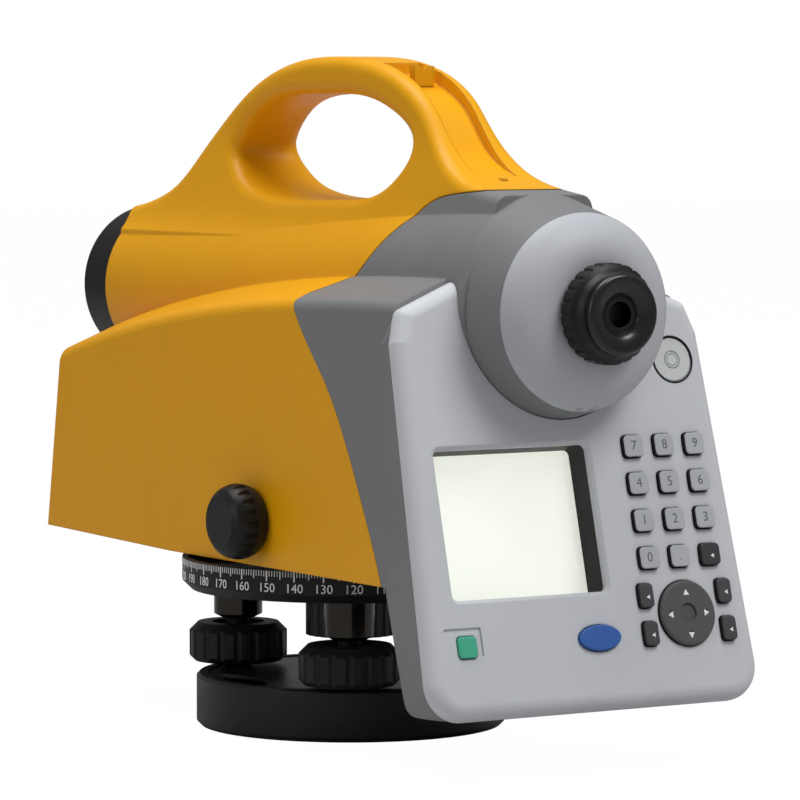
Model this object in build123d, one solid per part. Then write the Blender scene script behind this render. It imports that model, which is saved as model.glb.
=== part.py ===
from build123d import *
import os
from math import asin, cos, pi, radians, sin

# Digital automatic level on its tribrach. Millimetres, +Z up, the objective looks along +Y,
# the operator stands on the -Y side. The origin is the centre of the base plate's underside.

# Fits and clearances
running_fit = 0.06
air = 0.3
case_play = 0.2

# Tribrach
base_radius = 54.6
base_height = 18.2
base_floor = 5.0
base_rim_width = 4.0
tripod_thread_radius = 7.94
tripod_thread_depth = 14.0
tripod_boss_radius = 13.0
tripod_boss_top = 21.0
foot_circle_radius = 47.0
foot_angles = (238.4, 358.4, 118.4)
foot_knob_radius = 17.5
foot_knob_bottom = 19.4
foot_knob_top = 33.3
foot_spindle_radius = 4.0
foot_ball_radius = 6.5
foot_ball_z = 9.0
foot_neck_radius = 4.6
foot_pad_radius = 9.5
foot_bush_radius = 8.7
foot_bush_bottom = 36.3
spring_sheet = 1.2
spring_sheet_radius = 50.0
hub_radius = 16.0
hub_bottom = 31.5
hub_tail_bottom = 28.0
head_bottom = 48.6
head_thickness = 6.0
head_radius = 55.8

# Horizontal circle
circle_radius = 59.5
circle_bottom = 48.3
circle_top = 59.6

# Vertical axis and its drive
spindle_radius = 8.0
spindle_collar_radius = 13.0
wheel_teeth = 44
wheel_module = 1.0
wheel_thickness = 6.0
worm_pitch_radius = 5.0
drive_shaft_radius = 4.0
drive_shaft_z = 76.3
drive_knob_radius = 13.0
drive_knob_length = 13.4

# Housing
body_half_width = 55.0
body_bottom = 61.0
body_rear = -128.0
body_front = 130.0
floor_rear = -109.5
wall = 2.8
ridge_half_width = 34.0
ridge_rise = 8.0
nose_round = 7.0
corner_round = 4.5
seam = 0.3
overall_height = 235.0
sight_z = 151.0
handle_foot = 180.0
handle_half_width = 13.0
handle_bar = 13.0
handle_edge = 4.5
channel_half_width = 7.5
channel_depth = 4.5

# Front panel, measured on the panel's own plane
panel_tilt = 14.83
panel_y = -139.81
panel_z = 100.0
panel_rim = 6.0
panel_wall = 2.6
panel_edge = 5.0
panel_half_low = 64.6
panel_half_high = 59.6
panel_half_top = 56.0
panel_low = -80.0
panel_high = 54.8
skirt_depth = 32.0
display_left = -51.6
display_right = 7.7
display_low = -41.4
display_high = 7.6
display_depth = 12.0
window_chamfer = 1.2
groove_width = 1.2
key_column_x = 37.05
key_column_pitch = 12.25
key_top_row = 5.8
key_row_pitch = 12.47
key_width = 7.6
key_height = 7.3
key_travel = 1.0
key_proud = 1.8
rocker_radius = 10.9
rocker_v = -50.6
rocker_flange = 0.8
side_key_offset = 15.6
side_key_rows = (-44.0, -56.6)
side_key_width = 5.5
side_key_height = 8.0
power_key_x = -49.4
power_key_size = 7.0
measure_key_x = 1.5
measure_key_width = 16.0
measure_key_height = 8.5
low_key_v = -56.7
level_window_x = 46.4
level_window_v = 34.8
level_window_radius = 8.2

# Telescope
tube_radius = 25.0
tube_wall = 2.0
tube_rear = -8.0
tube_front = 118.0
barrel_front = 125.0
objective_front = 148.0
objective_radius = 29.3
lens_radius = 22.5
dome_rear = -147.0
dome_radius = 32.5
dome_front = -157.0
eyepiece_radius = 16.5
eyepiece_end = -168.0
eyepiece_bore = 12.0
eyepiece_travel = 1.2
dome_notch_radius = 1.5
dome_notch_spread = 2.6

# Focusing
focus_y = 30.0
focus_teeth = 12
focus_module = 0.8
focus_turn = 120.0
focus_shaft_radius = 3.0
focus_shaft_z = 118.0
focus_knob_radius = 14.0
focus_knob_length = 14.0
focus_ring_length = 24.0
focus_lens_radius = 15.0

# Compensator, beam splitter, sensor and reticle
pendulum_y = -30.0
pendulum_pivot_z = 166.0
splitter_size = 16.0
splitter_y = -66.0
reticle_y = -89.0
reticle_radius = 9.0

# Battery and measuring button
battery_length = 74.0
battery_width = 31.0
battery_height = 36.0
battery_y = 92.0
bay_wall = 1.6
trigger_y = -6.0
trigger_z = 112.0
trigger_radius = 5.5

# Case screws
screw_radius = 1.5
screw_head_radius = 2.8

# Values worked out from the ones above
tilt = radians(panel_tilt)
panel = Plane(origin=(0, panel_y, panel_z), x_dir=(1, 0, 0), z_dir=(0, -cos(tilt), sin(tilt)))
inner_half_width = body_half_width - wall
floor_front = body_front - wall - 0.6
floor_low = body_bottom + 2.2
floor_top = floor_low + 3.8
cheek_x = 34.0
cheek_thickness = 4.0
shelf_top = 123.0
shelf_thickness = 3.0
head_top = head_bottom + head_thickness
wheel_pitch_radius = wheel_teeth * wheel_module / 2
wheel_bottom = drive_shaft_z - wheel_thickness / 2
drive_shaft_y = -(wheel_pitch_radius + worm_pitch_radius)
boss_top = wheel_bottom - air
focus_pitch_radius = focus_teeth * focus_module / 2
focus_travel = radians(focus_turn) * focus_pitch_radius
rack_pitch_z = focus_shaft_z + focus_pitch_radius
sheet_top = base_height - 0.4
sheet_bottom = sheet_top - spring_sheet
key_flange_top = -panel_wall - air
key_flange = 1.0
mat_top = key_flange_top - key_flange - key_travel - case_play
mat_thickness = 1.2
board_top = mat_top - mat_thickness
board_thickness = 1.6


def face_of(*lines):
    return make_face(Curve() + list(lines))


def turned_z(points):
    return revolve(Plane.XZ * make_face(Polyline(*points, close=True)), Axis.Z)


def turned_y(*lines):
    return Pos(0, 0, sight_z) * revolve(make_face(Curve() + list(lines)), Axis.Y)


def turned_x(points, y, z):
    return Pos(0, y, z) * revolve(make_face(Polyline(*points, close=True)), Axis.X)


def rod_x(radius, x0, x1, y, z):
    return turned_x([(x0, 0), (x1, 0), (x1, radius), (x0, radius)], y, z)


def rod_y(radius, y0, y1):
    return turned_y(Polyline((0, y0), (radius, y0), (radius, y1), (0, y1), close=True))


def rod_z(radius, z0, z1, x=0, y=0):
    return Pos(x, y, (z0 + z1) / 2) * Cylinder(radius, z1 - z0)


def block(x0, x1, y0, y1, z0, z1):
    return Pos((x0 + x1) / 2, (y0 + y1) / 2, (z0 + z1) / 2) * Box(x1 - x0, y1 - y0, z1 - z0)


def side_slab(face, half_width):
    return extrude(Plane.YZ * face, amount=half_width, both=True)


def dome_line(radius, edge_y, apex_y):
    rise = apex_y - edge_y
    bend = (radius ** 2 + rise ** 2) / (2 * rise)
    half = asin(radius / abs(bend)) / 2
    middle = (abs(bend) * sin(half), apex_y - bend * (1 - cos(half)))
    return ThreePointArc((radius, edge_y), middle, (0, apex_y))


def on_panel(sketch, w0, w1):
    return extrude(panel * (Pos(0, 0, w0) * sketch), amount=w1 - w0)


def foot_places():
    return [(foot_circle_radius * cos(radians(a)), foot_circle_radius * sin(radians(a)))
            for a in foot_angles]


def save(name, shape):
    shape.label = name
    export_step(shape, f"parts/{name}.step")


# Tribrach: base plate, spring plate and foot screws

def base_plate():
    plate = turned_z([(0, 0), (base_radius - 1.5, 0), (base_radius, 1.5), (base_radius, base_height - 1.0),
                      (base_radius - 1.0, base_height), (spring_sheet_radius + air, base_height),
                      (spring_sheet_radius + air, sheet_bottom), (0, sheet_bottom)])
    plate -= rod_z(spring_sheet_radius - base_rim_width, base_floor, base_height)
    plate += rod_z(tripod_boss_radius, base_floor - 1, tripod_boss_top)
    plate -= rod_z(tripod_thread_radius, -1, tripod_thread_depth)
    for x, y in foot_places():
        plate += rod_z(foot_pad_radius + 2, base_floor - 1, sheet_bottom, x, y) & rod_z(base_radius - 1.5, 0, 30)
        plate -= rod_z(foot_ball_radius + air, foot_ball_z, base_height + 1, x, y)
        plate -= Pos(x, y, foot_ball_z) * Sphere(foot_ball_radius + running_fit)
    rib = block(tripod_boss_radius - 1, spring_sheet_radius - base_rim_width + 1, -1.5, 1.5, base_floor - 1, 12)
    for angle in foot_angles:
        plate += Rot(0, 0, angle + 60) * rib
    return plate


def spring_plate():
    sheet = Circle(spring_sheet_radius) - Circle(tripod_boss_radius + case_play)
    for angle in foot_angles:
        notch = Rot(0, 0, angle + 60) * (Pos(spring_sheet_radius, 0) * Ellipse(13, 19))
        sheet -= notch
    for x, y in foot_places():
        sheet -= Pos(x, y) * Circle(foot_neck_radius + 0.4)
    return Pos(0, 0, sheet_bottom) * extrude(sheet, amount=spring_sheet)


def foot_screw(x, y):
    r = foot_knob_radius
    neck_low = foot_ball_z + 4.0
    screw = turned_z([(0, neck_low), (foot_neck_radius, neck_low), (foot_neck_radius, foot_knob_bottom - 1.3),
                      (7.8, foot_knob_bottom), (r - 2.0, foot_knob_bottom), (r, foot_knob_bottom + 2.0),
                      (r, foot_knob_top - 3.0), (r - 3.0, foot_knob_top), (foot_pad_radius, foot_knob_top),
                      (foot_pad_radius, foot_knob_top - 2.8), (foot_spindle_radius, foot_knob_top - 2.8),
                      (foot_spindle_radius, head_top - 1.0), (0, head_top - 1.0)])
    for i in range(18):
        flute = Rot(0, 0, 20 * i) * rod_z(1.7, foot_knob_bottom - 1, foot_knob_top + 1, r + 0.9)
        screw -= flute
    screw += Pos(0, 0, foot_ball_z) * Sphere(foot_ball_radius)
    return Pos(x, y, 0) * screw


def levelling_head():
    inner = circle_radius - 6.0
    head = turned_z([(spindle_radius, hub_bottom), (hub_radius, hub_bottom), (hub_radius, head_bottom),
                     (head_radius, head_bottom), (head_radius, head_bottom + 3.0), (inner, head_bottom + 3.0),
                     (inner, head_top), (spindle_radius, head_top)])
    head += turned_z([(0, hub_tail_bottom), (3.0, hub_tail_bottom), (7.5, hub_bottom - 0.2),
                      (hub_radius - 0.5, hub_bottom), (hub_radius - 0.5, hub_bottom + 1.2), (0, hub_bottom + 1.2)])
    for i in range(24):
        head -= Rot(0, 0, 15 * i) * rod_z(0.8, hub_bottom - 1, head_bottom, hub_radius + 0.3)
    for x, y in foot_places():
        head += rod_z(foot_bush_radius, head_bottom + 1, head_top, x, y) & rod_z(inner, 0, 100)
        head -= rod_z(foot_bush_radius - 3.0, head_bottom - 1, head_top + 1, x, y)
    return head


def foot_bushes():
    inner = foot_spindle_radius + running_fit
    bush = turned_z([(inner, foot_bush_bottom - 1.6), (foot_spindle_radius + 1.5, foot_bush_bottom - 1.6),
                     (foot_bush_radius, foot_bush_bottom), (foot_bush_radius, head_bottom),
                     (foot_bush_radius - 3.0, head_bottom), (foot_bush_radius - 3.0, head_top),
                     (inner, head_top)])
    return [Pos(x, y, 0) * bush for x, y in foot_places()]


def horizontal_circle():
    seat = circle_radius - 6.0 + running_fit
    flange = head_bottom + 3.0 + case_play
    return turned_z([(head_radius + air, circle_bottom), (circle_radius - 3.0, circle_bottom),
                     (circle_radius, circle_bottom + 3.0), (circle_radius, circle_top),
                     (circle_radius - 2.0, circle_top), (circle_radius - 2.0, flange + 2.0),
                     (seat, flange + 2.0), (seat, flange), (head_radius + air, flange)])


# Vertical axis, worm and wheel

def axis_spindle():
    collar_top = floor_low - air
    return turned_z([(0, hub_bottom + 1.4), (spindle_radius, hub_bottom + 1.4), (spindle_radius, head_top),
                     (spindle_collar_radius, head_top), (spindle_collar_radius, collar_top),
                     (spindle_radius, collar_top), (spindle_radius, wheel_bottom + wheel_thickness + air),
                     (spindle_collar_radius, wheel_bottom + wheel_thickness + air),
                     (spindle_collar_radius, wheel_bottom + wheel_thickness + 4.0),
                     (0, wheel_bottom + wheel_thickness + 4.0)])


def worm_wheel():
    root = wheel_pitch_radius - 1.1 * wheel_module
    tip = wheel_pitch_radius + 0.8 * wheel_module
    tooth = make_face(Polyline((root - 0.3, -0.95), (tip, -0.3), (tip, 0.3), (root - 0.3, 0.95), close=True))
    pitch = 360 / wheel_teeth
    outline = Circle(root) + [Rot(0, 0, -90 + pitch * (i + 0.5)) * tooth for i in range(wheel_teeth)]
    outline -= Circle(spindle_radius + running_fit)
    return Pos(0, 0, wheel_bottom) * extrude(outline, amount=wheel_thickness)


def worm_shaft():
    lead = pi * wheel_module
    turns = 4.5
    root = drive_shaft_radius - 0.1
    tip = worm_pitch_radius + 0.8 * wheel_module
    path = Helix(pitch=lead, height=turns * lead, radius=root)
    section = Plane(origin=path @ 0, x_dir=(1, 0, 0), z_dir=path % 0)
    thread = sweep(section * make_face(Polyline((0, -0.75), (tip - root, -0.3), (tip - root, 0.3), (0, 0.75),
                                                close=True)), path=path, is_frenet=True)
    end = body_half_width + air
    core = Rot(0, -90, 0) * rod_x(drive_shaft_radius, -end, end, 0, 0)
    shaft = core + Pos(0, 0, -turns * lead / 2) * thread
    reach = end + drive_knob_length - 4.2
    shaft += rod_z(drive_shaft_radius - 1.05, -reach, reach)
    return Pos(0, drive_shaft_y, drive_shaft_z) * (Rot(0, 90, 0) * shaft)


def fluted_knob(radius, length, bore, bore_depth, flutes):
    belly = ThreePointArc((0.8, radius - 1.6), (length * 0.45, radius), (length - 1.6, radius - 2.0))
    rest = Polyline(belly @ 1, (length, radius - 4.0), (length, 0), (bore_depth, 0), (bore_depth, bore), (0, bore),
                    (0, radius - 2.4), belly @ 0)
    knob = revolve(face_of(belly, rest), Axis.X)
    for i in range(flutes):
        groove = rod_x(1.1, length * 0.4, length + 1, radius + 0.2, 0)
        knob -= Rot(360 * i / flutes, 0, 0) * groove
    return knob


def drive_knobs():
    knob = fluted_knob(drive_knob_radius, drive_knob_length, drive_shaft_radius - 1.0, drive_knob_length - 4, 20)
    place = Pos(body_half_width + air, drive_shaft_y, drive_shaft_z)
    return [place * knob, mirror(place * knob, Plane.YZ)]


# Housing forms, each made at the outer skin or inset by a wall

def shoulder_line(inset):
    points = ((118.0, 127.5), (43.5, 142.8), (-53.0, 152.2), (body_rear, 153.4))
    return Spline(*[(y, z + ridge_rise - inset) for y, z in points])


def body_block(inset):
    top = shoulder_line(inset)
    low = body_bottom + inset
    outline = Polyline(top @ 1, (body_rear, low), (33.0, low), (body_front - inset, low + 2.0), top @ 0)
    solid = side_slab(face_of(top, outline), body_half_width - inset)
    for side in (0, -1):
        flank = solid.faces().sort_by(Axis.X)[side]
        edge = flank.edges().filter_by(GeomType.BSPLINE)
        solid = chamfer(edge, length=ridge_rise, length2=body_half_width - ridge_half_width, reference=flank)
    nose = [e for e in solid.edges() if e.center().Y > 112.0 - inset and e.center().Z > 112.0]
    solid = fillet([e for e in nose if abs(e.center().X) < body_half_width - inset - 0.1], nose_round - inset)
    corners = [e for e in solid.edges() if abs(abs(e.center().X) - body_half_width + inset) < 0.01]
    return fillet([e for e in corners if e.center().Y > 115.0 or e.center().Z > 120.0], corner_round - inset)


def barrel(inset):
    stations = ((barrel_front, 31.4, 31.6), (60.0, 32.0, 32.4), (-20.0, 33.4, 34.6), (-90.0, 34.8, 37.4),
                (-124.0, 34.6, 38.2))
    rings = []
    for y, half_x, half_z in stations:
        plane = Plane(origin=(0, y, sight_z), x_dir=(1, 0, 0), z_dir=(0, 1, 0))
        rings.append(plane * Ellipse(half_x - inset, half_z - inset))
    return loft(rings)


def eye_end(inset):
    start = Plane(origin=(0, -124.0, sight_z), x_dir=(1, 0, 0), z_dir=(0, 1, 0))
    end = Plane(origin=(0, dome_rear, sight_z), x_dir=(1, 0, 0), z_dir=(0, 1, 0))
    rings = [start * Ellipse(34.6 - inset, 38.2 - inset),
             end * Ellipse(dome_radius - inset, dome_radius + 0.05 - inset)]
    return loft(rings, ruled=True)


def handle_fin():
    top = overall_height
    outline = ((124.5, 0.015), (108.0, 0.082), (96.0, 0.182), (83.0, 0.4), (64.0, 0.673), (42.0, 0.873),
               (14.0, 0.987), (-8.0, 1.0), (-28.0, 0.975), (-48.0, 0.891), (-65.0, 0.727), (-81.0, 0.427),
               (-91.0, 0.3), (-106.0, 0.209), (-124.0, 0.156))
    rise = Spline(*[(y, handle_foot + share * (top - handle_foot)) for y, share in outline])
    side = side_slab(face_of(rise, Polyline(rise @ 1, (-124.0, 160.0), (124.5, 160.0), rise @ 0)), 40.0)
    shoulder = handle_foot + 0.62 * (top - handle_foot)
    flare = Spline((handle_half_width, shoulder), (handle_half_width + 3.8, handle_foot + 12.0),
                   (handle_half_width + 12.0, handle_foot - 8.0), tangents=[(0, -1), (0.66, -0.75)])
    front = face_of(flare, mirror(flare, Plane.YZ),
                    Polyline(flare @ 1, (handle_half_width + 12.0, handle_foot - 22.0),
                             (-handle_half_width - 12.0, handle_foot - 22.0),
                             (-handle_half_width - 12.0, handle_foot - 8.0)),
                    Polyline((-handle_half_width, shoulder), (-handle_half_width, top + 2),
                             (handle_half_width, top + 2), flare @ 0))
    fin = side & extrude(Plane.XZ * front, amount=130.0, both=True)
    under = top - handle_bar
    sill = handle_foot + 5.0
    opening = ((58.0, 0.514), (43.0, 0.851), (0.0, 1.0), (-44.0, 0.851), (-61.0, 0.486), (-51.0, 0.162),
               (-25.0, 0.016), (10.0, 0.0), (40.0, 0.081), (54.0, 0.27))
    eye = Spline(*[(y, sill + share * (under - sill)) for y, share in opening], periodic=True)
    fin -= side_slab(make_face(eye), 60.0)
    rim = [e for e in fin.edges() if e.center().Z > handle_foot + 3 and abs(e.center().X) > handle_half_width - 1]
    return fin, rim


def handle():
    fin, rim = handle_fin()
    fin = fillet(rim, handle_edge)
    rise = overall_height - handle_foot
    points = ((-34.0, 0.969, 1.0), (-48.0, 0.891, 1.0), (-65.0, 0.727, 1.0), (-79.0, 0.473, 1.0),
              (-89.0, 0.338, 0.5), (-103.0, 0.24, 0.0))
    low = Spline(*[(y, handle_foot + share * rise - depth * channel_depth) for y, share, depth in points])
    above = overall_height + 5.0
    groove = face_of(low, Polyline(low @ 1, (-103.0, above), (-34.0, above), low @ 0))
    fin -= side_slab(groove, channel_half_width)
    return fin


def skirt(inset):
    sections = []
    for depth, half_low, half_high in ((panel_rim, panel_half_low, panel_half_high),
                                       (panel_rim + skirt_depth, 58.0, 48.6)):
        low = panel_low - 8.0 if depth > panel_rim else panel_low
        low += inset
        high = panel_high - 1.0 - inset
        outline = make_face(Polyline((-half_low + inset, low), (half_low - inset, low),
                                     (half_high - inset, high - 8.0), (half_high - 4.0 - inset, high),
                                     (-half_high + 4.0 + inset, high), (-half_high + inset, high - 8.0), close=True))
        outline = fillet(outline.vertices().sort_by(Axis.Y)[:2], 12.0 - inset)
        sections.append(panel * (Pos(0, 0, -depth) * outline))
    body = loft(sections, ruled=True)
    rear = make_face(Polyline((-180.0, 22.0), (-134.6, 22.0), (-112.0, 61.0), (-100.0, 80.0), (-90.0, 180.0),
                              (-180.0, 180.0), close=True))
    rear = fillet(rear.vertices().sort_by_distance((-134.6, 22.0, 0))[0], 11.0)
    if inset:
        rear = offset(rear, -inset)
    return body & side_slab(rear, 80.0)


def rear_region():
    low = Spline((-112.0, 58.0), (-107.0, 70.0), (-96.0, 92.0), (-74.0, 127.0), (-61.0, 141.0), (-51.5, 155.0))
    high = Spline((-51.5, 155.0), (-62.0, 165.0), (-72.0, 178.0), (-81.0, 185.0), (-98.0, 189.0), (-117.0, 191.0))
    ends = Polyline((-117.0, 191.0), (-117.0, 250.0), (-200.0, 250.0), (-200.0, 0.0), (-112.0, 0.0), (-112.0, 58.0))
    return side_slab(face_of(low, high, ends), 90.0)


def behind_panel(depth):
    return on_panel(Rectangle(300, 400), depth, depth + 120)


def floor_opening(clearance):
    x = inner_half_width - clearance
    return block(-x, x, floor_rear + clearance, floor_front - clearance, body_bottom - 1, floor_top + 0.1)


def battery_box(clearance):
    y = battery_width / 2 + clearance
    z = battery_height / 2 + clearance
    return y, floor_top + bay_wall + battery_height / 2 + air, z


def screw_places():
    x = inner_half_width - 6.2
    return [(side * x, y) for side in (-1, 1) for y in (floor_rear + 11.5, -50, 30, floor_front - 6.6)]


def main_housing(outer, inner, region):
    shell = (outer - region) - inner - floor_opening(0)
    outside = body_half_width + 5
    inside = inner_half_width - 5
    shell -= rod_x(drive_shaft_radius + 1.0, -outside, outside, drive_shaft_y, drive_shaft_z)
    shell -= rod_x(focus_shaft_radius + 1.0, inside, outside, focus_y, focus_shaft_z)
    shell -= rod_x(trigger_radius + air, inside, outside, trigger_y, trigger_z)
    y, z_mid, z = battery_box(3.0 + air)
    shell -= block(inside, outside, battery_y - y, battery_y + y, z_mid - z, z_mid + z)
    for x, y in screw_places():
        lug = block(abs(x) - 5, inner_half_width + 0.5, y - 5, y + 5, floor_top, floor_top + 7)
        lug -= rod_z(screw_radius, floor_top - 1, floor_top + 6, abs(x), y)
        shell += lug if x > 0 else mirror(lug, Plane.YZ)
    sight = face_of(Polyline((-4.0, 0), (-1.6, 0), (0, -3.0), (1.6, 0), (4.0, 0), (4.0, -7.0), (-4.0, -7.0),
                             close=True))
    shell += Pos(0, -46.0, overall_height - 3.5) * (Plane.XZ * extrude(sight, amount=3.0))
    shell -= Pos(0, -99.0, 193.0) * Cylinder(1.6, 8.0)
    return shell


def rear_housing(outer, inner, region):
    return (outer & region) - inner


# Front panel and what it carries

def display_window(margin):
    width = display_right - display_left + 2 * margin
    height = display_high - display_low + 2 * margin
    centre = Pos((display_left + display_right) / 2, (display_low + display_high) / 2)
    return centre * RectangleRounded(width, height, 2.0 + max(margin, 0))


def panel_outline(inset):
    half_low = panel_half_low - inset
    half_high = panel_half_high - inset
    outline = make_face(Polyline((-half_low, panel_low + inset), (half_low, panel_low + inset),
                                 (half_high, 44.0), (panel_half_top - inset, panel_high - inset),
                                 (ridge_half_width - 2, 64.5 - inset), (-ridge_half_width + 2, 64.5 - inset),
                                 (-panel_half_top + inset, panel_high - inset), (-half_high, 44.0), close=True))
    corners = outline.vertices().sort_by(Axis.Y)
    outline = fillet(corners[:2], 12.0 - inset)
    return fillet(outline.vertices().filter_by_position(Axis.Y, panel_high - inset - 0.5, panel_high - inset + 0.5),
                  4.0)


def key_places():
    places = []
    for row in range(4):
        for column in range(3):
            x = key_column_x + (column - 1) * key_column_pitch
            places.append((x, key_top_row - row * key_row_pitch))
    return places


def side_key_places():
    return [(key_column_x + side * side_key_offset, v) for side in (-1, 1) for v in side_key_rows]


def key_cap(width, height, corner):
    return RectangleRounded(width, height, corner)


def key_solid(x, v, cap, flange, proud):
    key = on_panel(Pos(x, v) * cap, key_flange_top, proud)
    top = key.faces().sort_by(Axis(panel.origin, panel.z_dir))[-1]
    key = fillet(top.edges(), 0.5)
    return key + on_panel(Pos(x, v) * flange, key_flange_top - key_flange, key_flange_top)


def number_key(place):
    return key_solid(*place, key_cap(key_width, key_height, 1.6), key_cap(key_width + 2, key_height + 2, 2.0),
                     key_proud)


def side_key(place):
    return key_solid(*place, key_cap(side_key_width, side_key_height, 1.4),
                     key_cap(side_key_width + 1.1, side_key_height + 2, 1.8), key_proud)


def power_key():
    cap = key_cap(power_key_size, power_key_size, 1.4)
    return key_solid(power_key_x, low_key_v, cap, key_cap(power_key_size + 2, power_key_size + 2, 2.0), 1.0)


def measure_key():
    cap = Ellipse(measure_key_width / 2, measure_key_height / 2)
    flange = Ellipse(measure_key_width / 2 + 1.2, measure_key_height / 2 + 1.2)
    return key_solid(measure_key_x, low_key_v, cap, flange, 1.4)


def rocker_key():
    spot = Pos(key_column_x, rocker_v)
    flange_top = key_flange_top - 0.7
    disc = on_panel(spot * Circle(rocker_radius), flange_top, 1.6)
    disc = fillet(disc.faces().sort_by(Axis(panel.origin, panel.z_dir))[-1].edges(), 1.0)
    disc -= on_panel(spot * Circle(3.2), 0.9, 3.0)
    for turn in range(4):
        mark = Rot(0, 0, 90 * turn) * (Pos(0, rocker_radius - 4.0) * RegularPolygon(1.3, 3))
        disc -= on_panel(spot * mark, 1.2, 3.0)
    disc += on_panel(spot * Circle(rocker_radius + 0.7), flange_top - rocker_flange, flange_top)
    return disc - on_panel(spot * Circle(3.0), flange_top - rocker_flange - 1, flange_top + 1.0)


def rocker_pivot():
    spot = Pos(key_column_x, rocker_v)
    flange_top = key_flange_top - 0.7
    return on_panel(spot * Circle(2.7), mat_top + 0.1, flange_top + 0.7)


def level_place():
    return Pos(level_window_x, level_window_v)


def front_panel(skin):
    plate = on_panel(panel_outline(0), -panel_rim, 0)
    front = plate.faces().sort_by(Axis(panel.origin, panel.z_dir))[-1]
    plate = fillet(front.edges(), panel_edge)
    plate -= on_panel(panel_outline(panel_wall), -panel_rim - 1, -panel_wall)
    plate -= skin
    plate -= on_panel(display_window(0), -10, 2)
    near = [e for e in plate.edges() if abs((e.center() - panel.origin).dot(panel.z_dir)) < 0.01
            and display_left - 1 < e.center().X < display_right + 1
            and display_low - 1 < (e.center() - panel.origin).dot(panel.y_dir) < display_high + 1]
    plate = chamfer(near, window_chamfer)
    for width, height, x, v in groove_pieces():
        plate -= on_panel(Pos(x, v) * RectangleRounded(width, height, groove_width / 2 - 0.01), -0.5, 1)
    hole = air
    for place in key_places():
        plate -= on_panel(Pos(*place) * key_cap(key_width + 2 * hole, key_height + 2 * hole, 1.8), -10, 2)
    for place in side_key_places():
        plate -= on_panel(Pos(*place) * key_cap(side_key_width + 2 * hole, side_key_height + 2 * hole, 1.6), -10, 2)
    size = power_key_size + 2 * hole
    plate -= on_panel(Pos(power_key_x, low_key_v) * key_cap(size, size, 1.6), -10, 2)
    plate -= on_panel(Pos(measure_key_x, low_key_v) * Ellipse(measure_key_width / 2 + hole,
                                                            measure_key_height / 2 + hole), -10, 2)
    plate -= on_panel(Pos(key_column_x, rocker_v) * Circle(rocker_radius + hole), -10, 2)
    plate -= on_panel(level_place() * Circle(level_window_radius - 0.8), -10, 2)
    plate -= on_panel(level_place() * Circle(level_window_radius), -10, -1.2)
    for x, v in board_bosses():
        plate += on_panel(Pos(x, v) * Circle(2.2), board_top, -panel_wall)
    return plate


def groove_pieces():
    across = 14.0
    down = 9.5
    x = power_key_x + 5.4
    v = low_key_v + 5.6
    return ((across, groove_width, x + (groove_width - across) / 2, v),
            (groove_width, down, x, v + (groove_width - down) / 2))


def board_bosses():
    high = key_top_row + 8.2
    return [(10.1 - panel_half_low, panel_low + 14.5), (46.0, panel_low + 13.0), (display_right + 9.8, high),
            (panel_half_high - 7.6, high)]


def board_outline(inset):
    low = panel_low + 9.0 + inset
    high = key_top_row + 13.2 - inset
    step = low_key_v + 8.2 - inset
    wide = panel_half_low - 5.1 - inset
    side = display_right + 4.8 + inset
    outline = make_face(Polyline((-wide, low), (wide, low), (panel_half_high - 2.6 - inset, high), (side, high),
                                 (side, step), (-wide + 0.5, step), close=True))
    return fillet(outline.vertices().sort_by(Axis.Y)[:2], 8.0)


def key_mat():
    sheet = board_outline(0.5)
    for x, v in board_bosses():
        sheet -= Pos(x, v) * Circle(2.5)
    return on_panel(sheet, board_top, mat_top)


def main_board():
    board = on_panel(board_outline(0), board_top - board_thickness, board_top)
    for x, v, width, height, thick in ((40, -5, 14, 14, 1.6), (30, -35, 10, 16, 1.4), (-20, -60, 12, 8, 1.4),
                                       (50, -58, 8, 12, 3.0), (-48, -60, 9, 7, 3.0)):
        board += on_panel(Pos(x, v) * Rectangle(width, height), board_top - board_thickness - thick,
                          board_top - board_thickness)
    return board


def display_bezel():
    frame = on_panel(display_window(2.2), -display_depth, -panel_wall)
    return frame - on_panel(display_window(0.05), -display_depth - 1, 0)


def display_glass():
    return on_panel(display_window(2.2), -display_depth - 1.5, -display_depth)


def display_module():
    module = on_panel(display_window(2.2), -display_depth - 6.0, -display_depth - 1.5)
    return module


def level_window():
    return (on_panel(level_place() * Circle(level_window_radius - 1.0), -1.2, -0.2)
            + on_panel(level_place() * Circle(level_window_radius - 0.2), -3.0, -1.2))


def eyepiece_dome():
    inner = dome_radius - wall - case_play
    outside = ThreePointArc((dome_radius, dome_rear), (27.2, dome_rear - 6.4), (eyepiece_radius + 0.8, dome_front))
    bore = eyepiece_bore + running_fit
    rest = Polyline((eyepiece_radius + 0.8, dome_front), (bore, dome_front), (bore, -118.0), (14.5, -118.0),
                    (14.5, dome_front + 2.8), (21.0, dome_front + 3.6), (26.5, dome_rear - 2.6),
                    (26.8, dome_rear + 4.0), (inner, dome_rear + 4.0), (inner, dome_rear), (dome_radius, dome_rear))
    dome = turned_y(outside, rest)
    for x in (-dome_notch_spread, dome_notch_spread):
        dome -= Pos(x, dome_rear - 2.0, sight_z - dome_radius + 0.6) * Sphere(dome_notch_radius)
    return dome


# Telescope

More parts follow.
